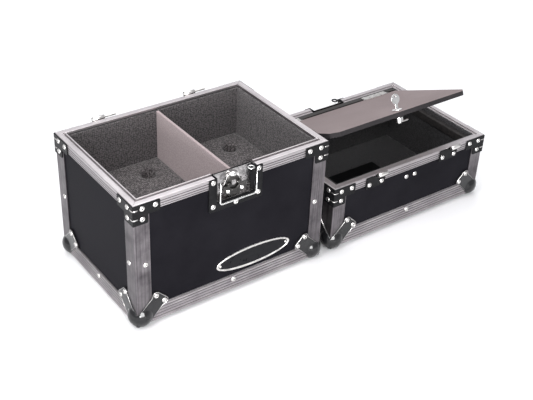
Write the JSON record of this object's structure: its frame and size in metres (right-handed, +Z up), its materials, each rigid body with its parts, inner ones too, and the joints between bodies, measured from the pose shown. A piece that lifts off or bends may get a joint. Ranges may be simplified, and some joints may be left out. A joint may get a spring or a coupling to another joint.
{
  "type": "microphone case",
  "caption": "Black flight case for hand microphones, open, with foam sockets and a butterfly latch; its lift-off lid stands upside down beside it under a tilted, lockable inner cover.",
  "frame": {"origin": "middle of the ground that the case and the lid cover together", "axes": "+X along the latch side from the case to the lid, +Y from the latch side of the case to its hinge side, +Z up"},
  "size_m": [0.8026, 0.2872, 0.251],
  "materials": {
    "laminate": "black textured laminate on plywood",
    "edge_aluminium": "brushed extrusion",
    "rim_aluminium": "bright satin extrusion",
    "black_steel": "semi-gloss black",
    "bright_steel": "bright zinc",
    "polished_steel": "polished nickel",
    "dark_zinc": "dark zinc",
    "wall_foam": "grey foam lining",
    "block_foam": "grey speckled foam",
    "divider_foam": "pale grey padded board",
    "lid_foam": "black foam lining",
    "dark_wood": "black stained",
    "cover_laminate": "grey laminate on board",
    "plate": "black with a bright border",
    "grip_rubber": "matt black"
  },
  "bodies": {
    "case": {"case_front_panel": "laminate", "case_back_panel": "laminate", "case_left_panel": "laminate", "case_right_panel": "laminate", "case_bottom_panel": "laminate", "case_corner_angles": "edge_aluminium", "case_base_angles": "edge_aluminium", "case_rim": "rim_aluminium", "case_corner_braces": "black_steel", "case_ball_corners": "black_steel", "case_rivets": "bright_steel", "case_wall_lining": "wall_foam", "microphone_foam_left": "block_foam", "microphone_foam_right": "block_foam", "foam_base_sheets": "block_foam", "divider": "divider_foam", "latch_dish": "black_steel", "latch_base": "bright_steel", "name_plate": "plate", "name_plate_rivets": "bright_steel", "case_hinge_leaves": "black_steel", "case_hinge_pins": "bright_steel"},
    "hook": {"latch_hook": "polished_steel"},
    "rotor": {"latch_rotor": "dark_zinc", "latch_wing_pins": "bright_steel"},
    "wing": {"latch_wing": "dark_zinc"},
    "lid": {"lid_front_panel": "laminate", "lid_back_panel": "laminate", "lid_left_panel": "laminate", "lid_right_panel": "laminate", "lid_top_panel": "laminate", "lid_corner_angles": "edge_aluminium", "lid_base_angles": "edge_aluminium", "lid_rim": "rim_aluminium", "lid_corner_braces": "black_steel", "lid_ball_corners": "black_steel", "lid_rivets": "bright_steel", "lid_wall_lining": "lid_foam", "lid_floor_lining": "lid_foam", "lid_hinge_leaves": "black_steel", "keeper_dish": "black_steel", "keeper_plate": "bright_steel", "strike_bracket": "bright_steel", "hinge_rail": "dark_wood", "cover_cleats": "dark_wood", "cover_hinge_fixed_leaves": "bright_steel", "cover_hinge_pins": "bright_steel", "handle_dish": "black_steel", "handle_springs": "bright_steel"},
    "cover": {"cover_board": "cover_laminate", "cover_hinge_moving_leaves": "bright_steel", "lock_body": "polished_steel", "lock_nut": "bright_steel"},
    "lock": {"lock_plug": "polished_steel", "lock_cam": "bright_steel", "lock_key": "polished_steel"},
    "handle": {"handle_bail": "bright_steel", "handle_grip": "grip_rubber"}
  },
  "joints": [
    {"name": "lid_lift", "type": "slide", "parent": "case", "child": "lid", "axis": [0, 0, 1], "range_m": [0, 0.25]},
    {"name": "cover_hinge", "type": "hinge", "parent": "lid", "child": "cover", "pos_m": [0.203, 0.106, 0.136], "axis": [-1, 0, 0], "range_deg": [-24.3, 75.7]},
    {"name": "lock_turn", "type": "hinge", "parent": "cover", "child": "lock", "pos_m": [0.203, -0.07537, 0.21789], "axis": [0, -0.4115, -0.9114], "range_deg": [0, 90]},
    {"name": "latch_turn", "type": "hinge", "parent": "case", "child": "rotor", "pos_m": [-0.203, -0.134, 0.2235], "axis": [0, -1, 0], "range_deg": [0, 180]},
    {"name": "wing_fold", "type": "hinge", "parent": "rotor", "child": "wing", "pos_m": [-0.203, -0.1294, 0.2235], "axis": [-1, 0, 0], "range_deg": [0, 90]},
    {"name": "hook_slide", "type": "slide", "parent": "case", "child": "hook", "axis": [0, 0, 1], "range_m": [0, 0.0121]},
    {"name": "handle_swing", "type": "hinge", "parent": "lid", "child": "handle", "pos_m": [0.203, 0.028, 0.0185], "axis": [1, 0, 0], "range_deg": [0, 90], "stiffness_Nm_per_rad": 0.1, "springref_deg": -57.3}
  ],
  "couplings": [
    {"joint": "hook_slide", "follows": "latch_turn", "m_per_rad": 0.0038197}
  ]
}
